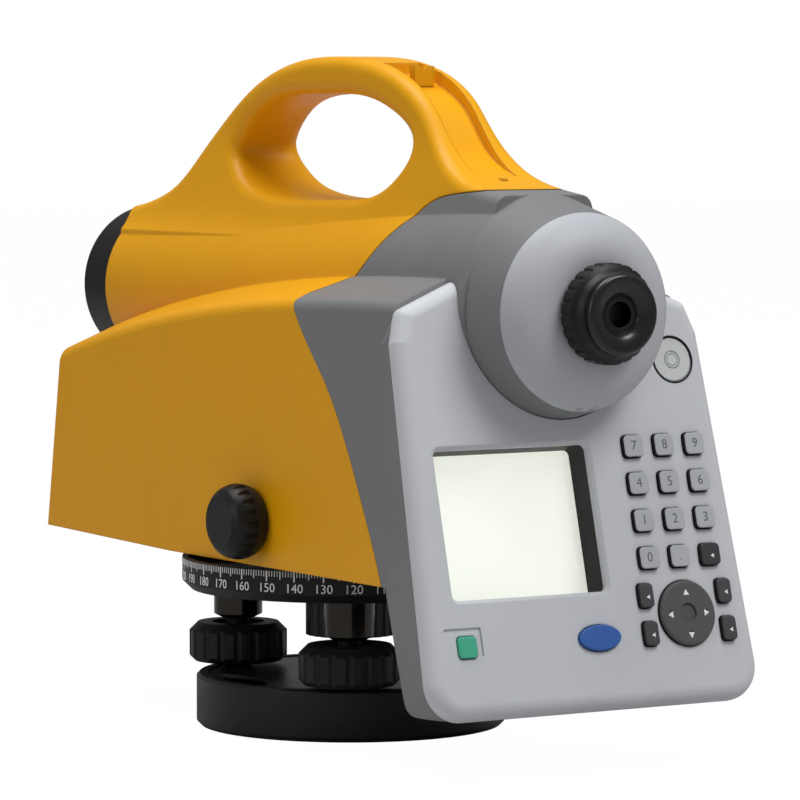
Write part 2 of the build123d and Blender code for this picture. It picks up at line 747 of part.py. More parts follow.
def chassis():
    frame = floor_opening(case_play) & block(-body_half_width, body_half_width, floor_rear, floor_front, floor_low,
                                             floor_top)
    frame = fillet(frame.edges().filter_by(Axis.Z), 2.0)
    frame += rod_z(spindle_radius + 8.0, floor_low, boss_top)
    for side in (-1, 1):
        inside = cheek_x - cheek_thickness / 2
        cheek = block(inside, inside + cheek_thickness, -100.0, 68.0, floor_top - 1, shelf_top)
        for y in (-84.0, -52.0, 14.0, 46.0):
            cheek -= block(inside - 1, inside + 6, y - 9, y + 9, floor_top + 12, shelf_top - 26)
        frame += cheek if side > 0 else mirror(cheek, Plane.YZ)
    frame += block(-36, 36, -104.0, -10.0, shelf_top - shelf_thickness, shelf_top)
    for y in (tube_rear + 5.0, 63.0):
        frame += block(-30, 30, y - 3, y + 3, 104.0, 138.0) + block(-36, 36, y - 3, y + 3, 104.0, 124.0)
    frame -= rod_y(tube_radius + 0.02, -60, 120) & block(-80, 80, -20, 120, 100, 180)
    x, y = level_seat()
    frame += block(cheek_x - 4, x + 8.5, y - 10.0, y + 10.0, shelf_top - shelf_thickness, shelf_top)
    frame -= rod_z(spindle_radius + running_fit, 60, boss_top + 1)
    frame -= rod_x(drive_shaft_radius + running_fit, -60, 60, drive_shaft_y, drive_shaft_z)
    frame -= rod_x(focus_shaft_radius + running_fit, -60, 60, focus_y, focus_shaft_z)
    for x, y in screw_places():
        frame -= rod_z(screw_head_radius + air, floor_low - 1, floor_low + 2.0, x, y)
        frame -= rod_z(screw_radius + 0.1, floor_low, floor_top + 1, x, y)
    y, z_mid, z = battery_box(air)
    bay_end = inner_half_width - battery_length - 1
    bay = block(bay_end - bay_wall, inner_half_width - 0.5, battery_y - y - bay_wall, battery_y + y + bay_wall,
                floor_top - 1, z_mid + z + bay_wall)
    bay -= block(bay_end, 60, battery_y - y, battery_y + y, z_mid - z, z_mid + z)
    return frame + bay


def telescope_tube():
    tube = rod_y(tube_radius, tube_rear, tube_front) - rod_y(tube_radius - tube_wall, tube_rear - 1, tube_front + 1)
    reach = rack_half_length() + focus_travel + 1.5
    return tube - block(-5.2, 5.2, focus_y - reach, focus_y + reach, 110, sight_z)


def rack_half_length():
    return focus_travel + 6.0


def objective_ring():
    neck = barrel_front + case_play
    bore = lens_radius + 0.1
    return turned_y(Polyline((tube_radius + 0.02, 106.0), (28.3, 106.0), (28.3, neck), (objective_radius, neck),
                             (objective_radius, objective_front - 2.4), (objective_radius - 2.2, objective_front),
                             (25.8, objective_front), (24.2, 132.0), (bore, 131.0), (bore, tube_front + case_play),
                             (tube_radius + 0.02, tube_front + case_play), close=True))


def objective_lens():
    rear = tube_front + case_play + 1.5
    front = rear + 5.0
    return turned_y(dome_line(lens_radius, front, front + 3.0), dome_line(lens_radius, rear, rear - 1.2),
                    Line((0, rear - 1.2), (0, front + 3.0)), Line((lens_radius, rear), (lens_radius, front)))


def focus_carriage():
    radius = tube_radius - tube_wall - running_fit
    half = focus_ring_length / 2
    ring = rod_y(radius, focus_y - half, focus_y + half) - rod_y(focus_lens_radius, 0, 60)
    root = rack_pitch_z + 1.3 * focus_module
    reach = rack_half_length()
    bar_top = sight_z - radius + 1.2
    ring += block(-4.5, 4.5, focus_y - reach, focus_y + reach, root, bar_top)
    pitch = pi * focus_module
    tooth = make_face(Polyline((-0.8, 0.2), (-0.22, -1.9), (0.22, -1.9), (0.8, 0.2), close=True))
    count = int(reach / pitch)
    teeth = [Pos(focus_y + (i + 0.5) * pitch, root) * tooth for i in range(-count, count)]
    return ring + [side_slab(t, 3.0) for t in teeth]


def focus_lens():
    edge = 4.0
    waist = 1.6
    radius = focus_lens_radius - 0.05
    return turned_y(dome_line(radius, focus_y + edge, focus_y + waist), dome_line(radius, focus_y - edge, focus_y - waist),
                    Line((0, focus_y + waist), (0, focus_y - waist)),
                    Line((radius, focus_y + edge), (radius, focus_y - edge)))


def focus_pinion():
    root = focus_pitch_radius - 1.15 * focus_module
    tooth = make_face(Polyline((root - 0.4, -0.85), (focus_pitch_radius + 0.8 * focus_module, -0.2),
                               (focus_pitch_radius + 0.8 * focus_module, 0.2), (root - 0.4, 0.85), close=True))
    outline = Circle(root) + [Rot(0, 0, 360 * i / focus_teeth) * tooth for i in range(focus_teeth)]
    gear = Pos(0, focus_y, focus_shaft_z) * side_slab(outline, 3.2)
    end = body_half_width + air + focus_knob_length - 4
    return gear + rod_x(focus_shaft_radius, -cheek_x - 2, end, focus_y, focus_shaft_z)


def focus_knob():
    knob = fluted_knob(focus_knob_radius, focus_knob_length, focus_shaft_radius, focus_knob_length - 4, 22)
    return Pos(body_half_width + air, focus_y, focus_shaft_z) * knob


def compensator_frame():
    frame = block(-22, 22, -96, -10, shelf_top, shelf_top + 3)
    for side in (-1, 1):
        cheek = block(18, 21, pendulum_y - 14, pendulum_y + 14, shelf_top + 2, pendulum_pivot_z + 4)
        cheek -= rod_x(1.5 + running_fit, 10, 30, pendulum_y, pendulum_pivot_z)
        frame += cheek if side > 0 else mirror(cheek, Plane.YZ)
        post = block(5, 8, splitter_y - 8, splitter_y + 8, shelf_top + 2, sight_z - splitter_size / 2)
        frame += post if side > 0 else mirror(post, Plane.YZ)
    for y in (pendulum_y - 12.5, pendulum_y + 12.5):
        frame += block(-21, 21, y - 1.5, y + 1.5, pendulum_pivot_z + 1.5, pendulum_pivot_z + 4)
    holder = block(-12, 12, reticle_y - 2, reticle_y + 2, shelf_top + 2, sight_z + 12)
    return frame + (holder - rod_y(reticle_radius, -120, 0))


def compensator_pendulum():
    arms = block(12.5, 15, pendulum_y - 5, pendulum_y + 5, 141, pendulum_pivot_z + 2.5)
    prism = block(-15, 15, pendulum_y - 7, pendulum_y + 7, 139, 142.5)
    prism += block(-9, 9, pendulum_y - 7, pendulum_y + 7, 142, 160)
    return prism + arms + mirror(arms, Plane.YZ) + rod_x(1.5, -20.5, 20.5, pendulum_y, pendulum_pivot_z)


def beam_splitter():
    half = splitter_size / 2
    return block(-half, half, splitter_y - half, splitter_y + half, sight_z - half, sight_z + half)


def sensor_board():
    board = block(-4.8, 4.8, splitter_y - 8, splitter_y + 8, shelf_top + 3, shelf_top + 4.6)
    return board + block(-1.5, 1.5, splitter_y - 6, splitter_y + 6, shelf_top + 4.6, shelf_top + 6.6)


def reticle():
    return Pos(0, reticle_y, 0) * rod_y(reticle_radius, -0.9, 0.9)


def eyepiece_cell():
    out = eyepiece_end + 3.0
    tube = rod_y(eyepiece_bore, out, -125.0) - rod_y(eyepiece_bore - 2.5, out + 1.2, -124.0)
    tube -= rod_y(eyepiece_bore - 4.0, out - 1, out + 2)
    radius = eyepiece_bore - 2.55
    lens = turned_y(dome_line(radius, out + 4.2, out + 6.4),
                    Polyline((0, out + 6.4), (0, out + 1.25), (radius, out + 1.25), (radius, out + 4.2)))
    return [tube, lens]


def dioptre_ring():
    start = dome_front - eyepiece_travel - air
    bore = eyepiece_bore + running_fit
    lip = eyepiece_end + 3.0 - air
    ring = turned_y(Polyline((bore, start), (eyepiece_radius, start), (eyepiece_radius, start - 5.0),
                             (14.6, start - 6.4), (13.6, eyepiece_end + 1.0), (12.2, eyepiece_end),
                             (4.2, eyepiece_end), (6.5, lip), (bore, lip), close=True))
    for i in range(24):
        groove = Pos(0, 0, sight_z) * (Rot(0, 15 * i, 0) * (Pos(eyepiece_radius + 0.4, start - 2.5, 0)
                                                             * (Rot(90, 0, 0) * Cylinder(0.9, 7.0))))
        ring -= groove
    return ring


def level_seat():
    return level_window_x - 7.9, floor_rear - 0.5


def circular_level():
    x, y = level_seat()
    cup = rod_z(8.0, shelf_top, shelf_top + 8.0, x, y) - rod_z(6.8, shelf_top + 1.5, shelf_top + 9.0, x, y)
    vial = rod_z(6.8, shelf_top + 1.5, shelf_top + 7.0, x, y)
    return cup + (Pos(x, y, shelf_top + 6.5) * Cylinder(6.0, 3.0)) + vial


def battery_pack():
    y, z_mid, z = battery_box(0)
    start = inner_half_width - battery_length
    pack = block(start, inner_half_width + 0.4, battery_y - y, battery_y + y, z_mid - z, z_mid + z)
    door = block(inner_half_width + 0.2, body_half_width, battery_y - y - 3, battery_y + y + 3, z_mid - z - 3,
                 z_mid + z + 3)
    pack += fillet(door.edges().filter_by(Axis.X), 2.0)
    grip = Pos(body_half_width, battery_y, z_mid + z - 3) * Box(3.2, 16, 6)
    return pack - grip


def trigger_button():
    inside = inner_half_width - air
    button = turned_x([(inside - 1.2, 0), (inside - 1.2, trigger_radius + 1.6), (inside, trigger_radius + 1.6),
                       (inside, trigger_radius), (body_half_width + 1.6, trigger_radius),
                       (body_half_width + 2.2, trigger_radius - 0.8), (body_half_width + 2.2, 0)],
                      trigger_y, trigger_z)
    return button


def case_screws():
    screw = rod_z(screw_head_radius, floor_low + 0.2, floor_low + 2.0)
    screw += rod_z(screw_radius, floor_low + 1.5, floor_top + 5)
    screw -= Pos(0, 0, floor_low + 0.5) * extrude(RegularPolygon(1.4, 6), amount=-1.2, both=True)
    return [Pos(x, y, 0) * screw for x, y in screw_places()]


os.makedirs("parts", exist_ok=True)

save("base_plate", base_plate())
save("spring_plate", spring_plate())
for number, place in enumerate(foot_places(), 1):
    save(f"foot_screw_{number}", foot_screw(*place))
save("levelling_head", levelling_head())
save("foot_bushes", Compound(children=foot_bushes()))
save("axis_spindle", axis_spindle())
save("horizontal_circle", horizontal_circle())

region = rear_region()
grip = handle()
outer_block = body_block(0)
inner_block = body_block(wall)
outer_barrel = barrel(0)
inner_barrel = barrel(wall)
save("main_housing", main_housing(outer_block + outer_barrel + grip, inner_block + inner_barrel, region))
rear_outer = ((outer_block + skirt(0)) - behind_panel(-panel_rim)) + outer_barrel + eye_end(0) + grip
save("rear_housing", rear_housing(rear_outer, inner_block + skirt(wall) + inner_barrel + eye_end(wall),
                                  Pos(0, -seam, -seam) * region))
save("front_panel", front_panel(barrel(-air) + eye_end(-air)))
save("eyepiece_dome", eyepiece_dome())
save("chassis", chassis())
save("display_bezel", display_bezel())
save("display_glass", display_glass())
save("display_module", display_module())
save("key_mat", key_mat())
save("main_board", main_board())
save("level_window", level_window())
save("circular_level", circular_level())
save("telescope_tube", telescope_tube())
save("objective_ring", objective_ring())
save("objective_lens", objective_lens())
save("focus_carriage", Compound(children=[focus_carriage(), focus_lens()]))
save("focus_pinion", focus_pinion())
save("focus_knob", focus_knob())
save("compensator_frame", compensator_frame())
save("compensator_pendulum", compensator_pendulum())
save("beam_splitter", beam_splitter())
save("sensor_board", sensor_board())
save("reticle", reticle())
save("eyepiece_cell", Compound(children=eyepiece_cell()))
save("dioptre_ring", dioptre_ring())
save("worm_shaft", worm_shaft())
save("worm_wheel", worm_wheel())
save("drive_knobs", Compound(children=drive_knobs()))
save("battery_pack", battery_pack())
save("trigger_button", trigger_button())
save("case_screws", Compound(children=case_screws()))
for number, place in enumerate(key_places(), 1):
    save(f"number_key_{number}", number_key(place))
for number, place in enumerate(side_key_places(), 1):
    save(f"side_key_{number}", side_key(place))
save("power_key", power_key())
save("measure_key", measure_key())
save("rocker_key", rocker_key())
save("rocker_pivot", rocker_pivot())
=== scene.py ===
# %% [markdown]
# # A digital automatic level
#
# A surveyor's level stands on a black screw-footed base. A yellow moulded housing with its carrying
# handle holds the telescope, a grey rear shell wraps the eye end, and a pale panel carries the
# display and the keys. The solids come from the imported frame, at their real size and place.
# This lesson gives each one its finish, adds the printed and small pieces, and lights the whole.

# %% Load the frame
from math import cos, pi, radians, sin

import bpy
from mathutils import Matrix, Vector


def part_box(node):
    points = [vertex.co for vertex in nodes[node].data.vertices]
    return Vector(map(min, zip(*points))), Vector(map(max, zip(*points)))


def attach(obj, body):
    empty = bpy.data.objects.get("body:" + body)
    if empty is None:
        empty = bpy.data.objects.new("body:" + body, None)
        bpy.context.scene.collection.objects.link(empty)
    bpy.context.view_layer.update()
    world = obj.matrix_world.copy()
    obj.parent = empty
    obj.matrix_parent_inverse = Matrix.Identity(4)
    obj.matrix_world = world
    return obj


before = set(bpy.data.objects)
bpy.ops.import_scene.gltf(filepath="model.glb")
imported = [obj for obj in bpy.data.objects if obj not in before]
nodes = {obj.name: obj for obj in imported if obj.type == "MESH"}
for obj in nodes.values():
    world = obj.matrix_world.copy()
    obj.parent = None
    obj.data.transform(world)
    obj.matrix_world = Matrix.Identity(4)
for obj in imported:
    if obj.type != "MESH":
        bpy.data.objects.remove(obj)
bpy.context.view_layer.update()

scene = bpy.context.scene
millimetre = 0.001

# %% [markdown]
# ## The camera
#
# The photograph was taken from behind and to the left of the level, from about 1.6 metres, with a
# long lens. The focal length is known in pixels, and one sensor width of 36 mm turns it into the
# lens that Blender asks for. The camera's matrix is its right, up and backward directions.

# %% Camera at the photograph's place
photo_width = 800
focal_pixels = 4567.0
camera_place = Vector((-0.8276, -1.3784, 0.2188))
camera_forward = Vector((0.52288, 0.84993, -0.06488)).normalized()
camera_up = Vector((0.0340, 0.0553, 0.9979))

camera_right = camera_forward.cross(camera_up).normalized()
camera_up = camera_right.cross(camera_forward)
camera_turn = Matrix((camera_right, camera_up, -camera_forward)).transposed()
camera_data = bpy.data.cameras.new("photo_camera")
camera_data.sensor_width = 36.0
camera_data.lens = camera_data.sensor_width * focal_pixels / photo_width
camera = bpy.data.objects.new("photo_camera", camera_data)
camera.matrix_world = Matrix.Translation(camera_place) @ camera_turn.to_4x4()
scene.collection.objects.link(camera)
scene.camera = camera
print("lens", round(camera_data.lens, 1), "mm")

# %% [markdown]
# ## Light and background
#
# The product stands in a white studio. A large soft lamp above the operator's right shoulder lights
# the panel, and one overhead lights the handle's top, so that the left flank is a shade darker. A
# weak one on the left opens the shadows. The world is white for the camera and dim for the object.

# %% Lamps
def soft_lamp(name, place, target, size, power):
    data = bpy.data.lights.new(name, "AREA")
    data.size = size
    data.energy = power
    lamp = bpy.data.objects.new(name, data)
    lamp.location = place
    lamp.rotation_euler = (Vector(target) - Vector(place)).to_track_quat("-Z", "Y").to_euler()
    scene.collection.objects.link(lamp)
    print(name, power, "W")


middle = (0.0, 0.0, 0.12)
soft_lamp("key_lamp", (0.45, -1.0, 1.5), middle, 0.8, 18.0)
soft_lamp("top_lamp", (-0.2, 0.2, 1.6), middle, 0.9, 16.0)
soft_lamp("left_lamp", (-1.5, -0.2, 0.7), middle, 0.8, 4.0)

# %% World
dim_world = 0.22

scene.view_settings.view_transform = "Standard"
world = bpy.data.worlds.new("studio")
scene.world = world
world.use_nodes = True
world_nodes = world.node_tree.nodes
world_links = world.node_tree.links
sky = world_nodes["Background"]
sky.inputs["Color"].default_value = (1.0, 1.0, 1.0, 1.0)
rays = world_nodes.new("ShaderNodeLightPath")
level = world_nodes.new("ShaderNodeMapRange")
level.inputs["To Min"].default_value = dim_world
level.inputs["To Max"].default_value = 1.0
world_links.new(rays.outputs["Is Camera Ray"], level.inputs["Value"])
world_links.new(level.outputs["Result"], sky.inputs["Strength"])
print("world at", dim_world, "for the object and 1 for the camera")

# %% [markdown]
# ## Writing finishes as sums
#
# A finish is a small network of shader nodes. Two helpers keep each one short enough to read. A
# `Wire` is a node's output, and sums written with it add Math nodes. A `Finish` is a material
# whose other nodes all come from one method.

# %% The two helpers
class Wire:
    """One output of a shader node, usable in sums."""

    def __init__(self, finish, socket):
        self.finish = finish
        self.socket = socket

    def math(self, operation, *values):
        return self.finish.node("ShaderNodeMath", {"operation": operation}, *values)

    def __add__(self, other):
        return self.math("ADD", self, other)

    def __sub__(self, other):
        return self.math("SUBTRACT", self, other)

    def __rsub__(self, other):
        return self.math("SUBTRACT", other, self)

    def __mul__(self, other):
        return self.math("MULTIPLY", self, other)

    def __gt__(self, other):
        return self.math("GREATER_THAN", self, other)

    def __lt__(self, other):
        return self.math("LESS_THAN", self, other)

    __radd__ = __add__
    __rmul__ = __mul__


class Finish:
    """One material. Its constants go straight to the shader's own sockets."""

    def __init__(self, name, **constants):
        self.material = bpy.data.materials.new(name)
        self.material.use_nodes = True
        self.tree = self.material.node_tree
        self.shader = self.tree.nodes["Principled BSDF"]
        for socket, value in constants.items():
            label = socket.replace("_", " ").title().replace("Ior", "IOR")
            self.shader.inputs[label].default_value = value

    def node(self, kind, settings, *values, out=0, **named):
        made = self.tree.nodes.new(kind)
        for setting, value in settings.items():
            setattr(made, setting, value)
        named = {key.replace("_", " "): value for key, value in named.items()}
        for key, value in [*enumerate(values), *named.items()]:
            socket = made.inputs[key]
            if isinstance(value, Wire):
                self.tree.links.new(value.socket, socket)
            else:
                socket.default_value = value
        return Wire(self, made.outputs[out])

    def place(self):
        return self.node("ShaderNodeTexCoord", {}, out="Object")

    def noise(self, scale, detail=3.0, rough=0.5):
        return self.node("ShaderNodeTexNoise", {}, Vector=self.place(), Scale=scale, Detail=detail,
                         Roughness=rough)

    def mix(self, factor, first, second):
        made = self.tree.nodes.new("ShaderNodeMix")
        made.data_type = "RGBA"
        for index, value in ((0, factor), (6, first), (7, second)):
            if isinstance(value, Wire):
                self.tree.links.new(value.socket, made.inputs[index])
            else:
                made.inputs[index].default_value = value
        return Wire(self, made.outputs[2])

    def bump(self, height, depth, strength, normal):
        return self.node("ShaderNodeBump", {}, Height=height, Distance=depth, Strength=strength,
                         Normal=normal)

    def soft_edges(self, radius):
        return self.node("ShaderNodeBevel", {"samples": 4}, Radius=radius)

    def set(self, **sockets):
        for socket, value in sockets.items():
            self.tree.links.new(value.socket, self.shader.inputs[socket.replace("_", " ")])
        return self.material


def linear(level):
    """A screen's level, 0 to 255, as the linear number that a shader takes."""
    return ((level / 255 + 0.055) / 1.055) ** 2.4 if level > 10 else level / 255 / 12.92


def shade(red, green, blue):
    """A colour as a screen shows it."""
    return (linear(red), linear(green), linear(blue), 1.0)


def scaled(colour, times, plus=0.0):
    """A colour made lighter or darker."""
    return tuple(min(1.0, part * times + plus) for part in colour[:3]) + (1.0,)


# %% [markdown]
# ## Moulded plastic and painted castings
#
# Most of the level is moulded. Under a glass the skin is a fine leather-like grain; from farther
# off it shows as a soft sheen that changes a little from place to place, as the mould wears and as
# hands polish it. Three noises of different sizes make the grain, the polish and the faint colour
# change, and a bevel normal rounds the edges that a mould never leaves sharp.

# %% One function for every moulded skin
broad_scale = 14.0
patch_scale = 90.0
grain_level = 0.66
grain_darkness = 0.06
grain_strength = 0.8
middle_noise = 0.5


def moulded(name, colour, grain=0.00006, grain_size=1400.0, gloss=0.42, swing=0.10, edge=0.0006,
            shine=0.22):
    finish = Finish(name, specular_ior_level=shine)
    broad = finish.noise(broad_scale, 4.0)
    patches = finish.noise(patch_scale, 5.0, 0.6)
    fine = finish.noise(grain_size, 2.0, 0.6)
    worn = scaled(colour, 1.07, 0.004)
    deep = scaled(colour, 0.92)
    tone = finish.mix(broad * 0.6 + patches * 0.4, deep, worn)
    skin = finish.mix((fine > grain_level) * grain_darkness, tone, deep)
    rough = gloss + (patches - middle_noise) * swing + (fine - middle_noise) * 0.06
    normal = finish.bump(fine, grain, grain_strength, finish.soft_edges(edge))
    return finish.set(Base_Color=skin, Roughness=rough, Normal=normal)


yellow_skin = moulded("yellow_moulding", shade(228, 161, 2), grain=0.00005, gloss=0.40, swing=0.12,
                      edge=0.0012)
grey_skin = moulded("grey_rear_moulding", shade(121, 122, 123), grain=0.00006, gloss=0.48, edge=0.0010)
panel_skin = moulded("pale_panel", shade(196, 198, 203), grain=0.00004, gloss=0.46, edge=0.0007)
dome_skin = moulded("dome_moulding", shade(176, 178, 184), grain=0.00004, gloss=0.44, edge=0.0008)
black_skin = moulded("black_moulding", shade(24, 24, 24), grain=0.00006, gloss=0.40, edge=0.0004)
black_paint = moulded("black_paint", shade(20, 20, 19), grain=0.00010, grain_size=700.0, gloss=0.38,
                      edge=0.0006, shine=0.3)
cup_rubber = moulded("cup_rubber", shade(27, 27, 28), grain=0.00003, gloss=0.26, edge=0.0003,
                     shine=0.4)
dark_rubber = moulded("dark_rubber", shade(62, 63, 66), grain=0.00003, gloss=0.5, edge=0.0003)
green_rubber = moulded("green_key", shade(72, 172, 140), grain=0.00002, gloss=0.4, edge=0.0003)
blue_rubber = moulded("blue_key", shade(58, 98, 170), grain=0.00002, gloss=0.4, edge=0.0003)
bezel_skin = moulded("bezel_black", shade(16, 16, 16), grain=0.00003, gloss=0.5, edge=0.0003)
battery_skin = moulded("battery_door", shade(44, 44, 45), grain=0.00006, gloss=0.5, edge=0.0004)
print(len(bpy.data.materials), "moulded and painted finishes")

# %% [markdown]
# ## Keys with dark sides
#
# Each key is a pale or grey cap that stands out of its hole. Its sides are painted near black,
# as painted shade for the shadow that frames each key. How far a point stands out of the panel
# decides the colour: below the cap's rounded edge the side takes the painted shade. The panel leans
# back, so that height is measured along the direction that points straight out of it.

# %% Directions of the panel and the two-tone finish
panel_lean = radians(14.83)
panel_up = Vector((0.0, sin(panel_lean), cos(panel_lean)))
panel_out = Vector((0.0, -cos(panel_lean), sin(panel_lean)))
panel_across = Vector((1.0, 0.0, 0.0))
# Painted shade: the near-black colour of the keys' sides, standing in for the shadow round each key.
key_side_shade = shade(16, 16, 17)
key_gloss = 0.5
key_grain = 0.00002
key_edge = 0.00025


def reach(name):
    """How far out of the panel a node's front face lies, measured from the origin."""
    return max(vertex.co.dot(panel_out) for vertex in nodes[name].data.vertices)


def capped(name, cap, node, cap_depth=0.00022):
    finish = Finish(name, specular_ior_level=0.3)
    out = finish.node("ShaderNodeVectorMath", {"operation": "DOT_PRODUCT"}, finish.place(), panel_out,
                      out="Value")
    broad = finish.noise(220.0, 3.0)
    fine = finish.noise(2600.0, 2.0)
    tone = finish.mix(broad, scaled(cap, 0.93), cap)
    # Below the cap's edge the side takes the painted shade colour.
    skin = finish.mix(out > reach(node) - cap_depth, key_side_shade, tone)
    rough = key_gloss + (broad - middle_noise) * 0.12
    normal = finish.bump(fine, key_grain, 0.6, finish.soft_edges(key_edge))
    return finish.set(Base_Color=skin, Roughness=rough, Normal=normal)


pale_key = capped("pale_key", shade(176, 178, 183), "number_key_1")
dark_key = capped("dark_key", shade(70, 71, 73), "side_key_1")
enter_key = capped("enter_key", shade(58, 59, 61), "number_key_12")
# The rocker disc's sides take the same painted shade, to a greater depth.
rocker_finish = capped("rocker_disc", shade(84, 84, 84), "rocker_key", 0.0009)
print("key caps at", round(reach("number_key_1") / millimetre, 1), "mm, measured square to the panel")

# %% [markdown]
# ## Metals
#
# The bushes and spindles are turned, so their sheen runs in fine rings round the axis they were
# turned on. A noise stretched round the axis is cheap and never repeats. The spring sheet is
# rolled, with long straight lines, and the castings only show their sand.

# %% Turned, rolled and cast metal
metal_edge = 0.0003


def brushed(name, colour, stretch, gloss, depth=0.00002):
    finish = Finish(name, metallic=1.0)
    turned = finish.node("ShaderNodeMapping", {}, Vector=finish.place(), Scale=stretch)
    lines = finish.node("ShaderNodeTexNoise", {}, Vector=turned, Scale=1.0, Detail=4.0, Roughness=0.7)
    stain = finish.noise(60.0, 4.0, 0.6)
    metal = finish.mix(lines * 0.55 + stain * 0.45, scaled(colour, 0.72), colour)
    rough = gloss + (lines - middle_noise) * 0.22 + (stain - middle_noise) * 0.10
    normal = finish.bump(lines, depth, 0.6, finish.soft_edges(metal_edge))
    return finish.set(Base_Color=metal, Roughness=rough, Normal=normal)


dark_bush = brushed("polished_bush", shade(58, 55, 52), (180.0, 180.0, 5200.0), 0.12)
bright_steel = brushed("turned_steel", shade(208, 207, 203), (180.0, 180.0, 5200.0), 0.30)
sheet_steel = brushed("rolled_sheet", shade(96, 96, 95), (90.0, 4200.0, 90.0), 0.34)
brass_metal = brushed("milled_brass", shade(205, 172, 96), (300.0, 300.0, 3000.0), 0.32)
cast_metal = brushed("cast_aluminium", shade(176, 177, 178), (900.0, 900.0, 900.0), 0.52, 0.00008)
anodised = brushed("black_anodised", shade(46, 46, 48), (60.0, 4200.0, 60.0), 0.42)
print("six metals, from", dark_bush.name, "to", anodised.name)

# %% [markdown]
# ## Glass, the display and the small parts inside
# The objective has a thin coating that throws back a faint violet and green, so its glass is not
# colourless. The display behind its window is a pale reflective sheet with the faintest grid of
# its picture cells. It also glows faintly: painted light that makes the sheet brighter than the
# lamps alone make it.

# %% Glass, display and boards
def clear_glass(name, tint, gloss=0.03):
    finish = Finish(name, transmission_weight=0.9, ior=1.5, specular_tint=(0.75, 0.7, 1.0, 1.0))
    smear = finish.noise(120.0, 3.0, 0.6)
    body = finish.mix(smear, tint, (0.96, 0.98, 1.0, 1.0))
    return finish.set(Base_Color=body, Roughness=gloss + smear * 0.05)


cells_per_metre = 2600.0
cell_gap = 0.12
track_width = 0.08
# Painted light: the display sheet glows, though it is no lamp.
display_painted_glow = 0.34


def cell_lines(finish, axis):
    across = finish.node("ShaderNodeSeparateXYZ", {}, finish.place(), out=axis)
    return finish.node("ShaderNodeMath", {"operation": "FRACT"}, across * cells_per_metre) < cell_gap


def display_sheet():
    # The emission is painted light that brightens the reflective sheet.
    finish = Finish("display_sheet", specular_ior_level=0.4, emission_strength=display_painted_glow)
    grid = cell_lines(finish, "X") * 0.5 + cell_lines(finish, "Z") * 0.5
    cloud = finish.noise(30.0, 2.0)
    paper = finish.mix(cloud * 0.6 + grid * 0.25, shade(250, 250, 246), shade(238, 240, 232))
    return finish.set(Base_Color=paper, Emission_Color=paper, Roughness=0.35 + cloud * 0.1)


def circuit_board():
    finish = Finish("circuit_board")
    copper = finish.node("ShaderNodeTexVoronoi", {"feature": "DISTANCE_TO_EDGE"}, Vector=finish.place(),
                         Scale=420.0)
    cloud = finish.noise(200.0)
    board = finish.mix(copper < track_width, shade(24, 92, 56), shade(44, 128, 82))
    return finish.set(Base_Color=board, Roughness=0.35 + cloud * 0.25)


milky_window = moulded("milky_window", shade(198, 201, 200), grain=0.00001, gloss=0.12,
                       edge=0.0003)
lens_glass = clear_glass("coated_glass", (0.72, 0.80, 0.92, 1.0))
window_glass = clear_glass("window_glass", (0.93, 0.95, 0.96, 1.0))
display_face = display_sheet()
board_finish = circuit_board()
print(len(bpy.data.materials), "finishes so far")

# %% [markdown]
# ## Dressing the solids
#
# Each solid keeps its shape and only changes its material, so a table from node to finish is
# all that is needed. Every slot of the object gets the same finish.

# %% Which finish goes on which solid
finishes = {
    "base_plate": black_paint, "spring_plate": sheet_steel, "levelling_head": black_paint,
    "foot_bushes": dark_bush, "axis_spindle": bright_steel, "horizontal_circle": black_skin,
    "main_housing": yellow_skin, "rear_housing": grey_skin, "front_panel": panel_skin,
    "eyepiece_dome": dome_skin, "chassis": cast_metal, "display_bezel": bezel_skin,
    "display_glass": window_glass, "display_module": display_face, "key_mat": dark_rubber,
    "main_board": board_finish, "level_window": milky_window, "circular_level": bright_steel,
    "telescope_tube": anodised, "objective_ring": black_skin, "objective_lens": lens_glass,
    "focus_carriage": brass_metal, "focus_pinion": bright_steel, "focus_knob": black_skin,
    "compensator_frame": cast_metal, "compensator_pendulum": cast_metal, "beam_splitter": lens_glass,
    "sensor_board": board_finish, "reticle": window_glass, "eyepiece_cell": anodised,
    "dioptre_ring": black_skin, "worm_shaft": bright_steel, "worm_wheel": brass_metal,
    "drive_knobs": black_skin, "battery_pack": battery_skin, "trigger_button": black_skin,
    "case_screws": bright_steel, "power_key": green_rubber, "measure_key": blue_rubber,
    "rocker_key": rocker_finish, "rocker_pivot": dark_rubber,
}
for name in nodes:
    if name.startswith("foot_screw"):
        finishes[name] = black_skin
    if name.startswith("number_key"):
        finishes[name] = pale_key
    if name.startswith("side_key"):
        finishes[name] = dark_key
finishes["number_key_12"] = enter_key

for name, solid in nodes.items():
    solid.data.materials.clear()
    solid.data.materials.append(finishes[name])
print(len(finishes), "solids dressed")

# %% [markdown]
# ## Printed marks
#
# Numbers and small signs are printed on the keys and the circle. A print is a skin of paint, so
# each is flat text or a flat shape, given a few hundredths of a millimetre of thickness and set
# half into the face that carries it. Text is turned into a mesh first and then moved, so that the
# finished piece sits at the origin like every other one.

# %% A helper that prints words on a face
print_depth = 0.00012
letter_steps = 3
flat_enough = 0.00005
white_print = moulded("white_print", shade(232, 233, 232), grain=0.00001, gloss=0.5, edge=0.00002)
grey_print = moulded("grey_print", shade(92, 94, 98), grain=0.00001, gloss=0.5, edge=0.00002)
print("prints are", print_depth / millimetre, "mm thick")


def finish_piece(piece, name, finish, body):
    piece.name = name
    piece.data.name = name
    piece.data.materials.clear()
    piece.data.materials.append(finish)
    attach(piece, body)
    return piece


def lay_on(piece, place, across, up):
    """Turns a piece made flat at the origin so that it faces out of a surface, and applies that."""
    out = across.cross(up)
    turn = Matrix((across, up, out)).transposed().to_4x4()
    piece.matrix_world = Matrix.Translation(place) @ turn
    bpy.ops.object.transform_apply(location=True, rotation=True, scale=True)


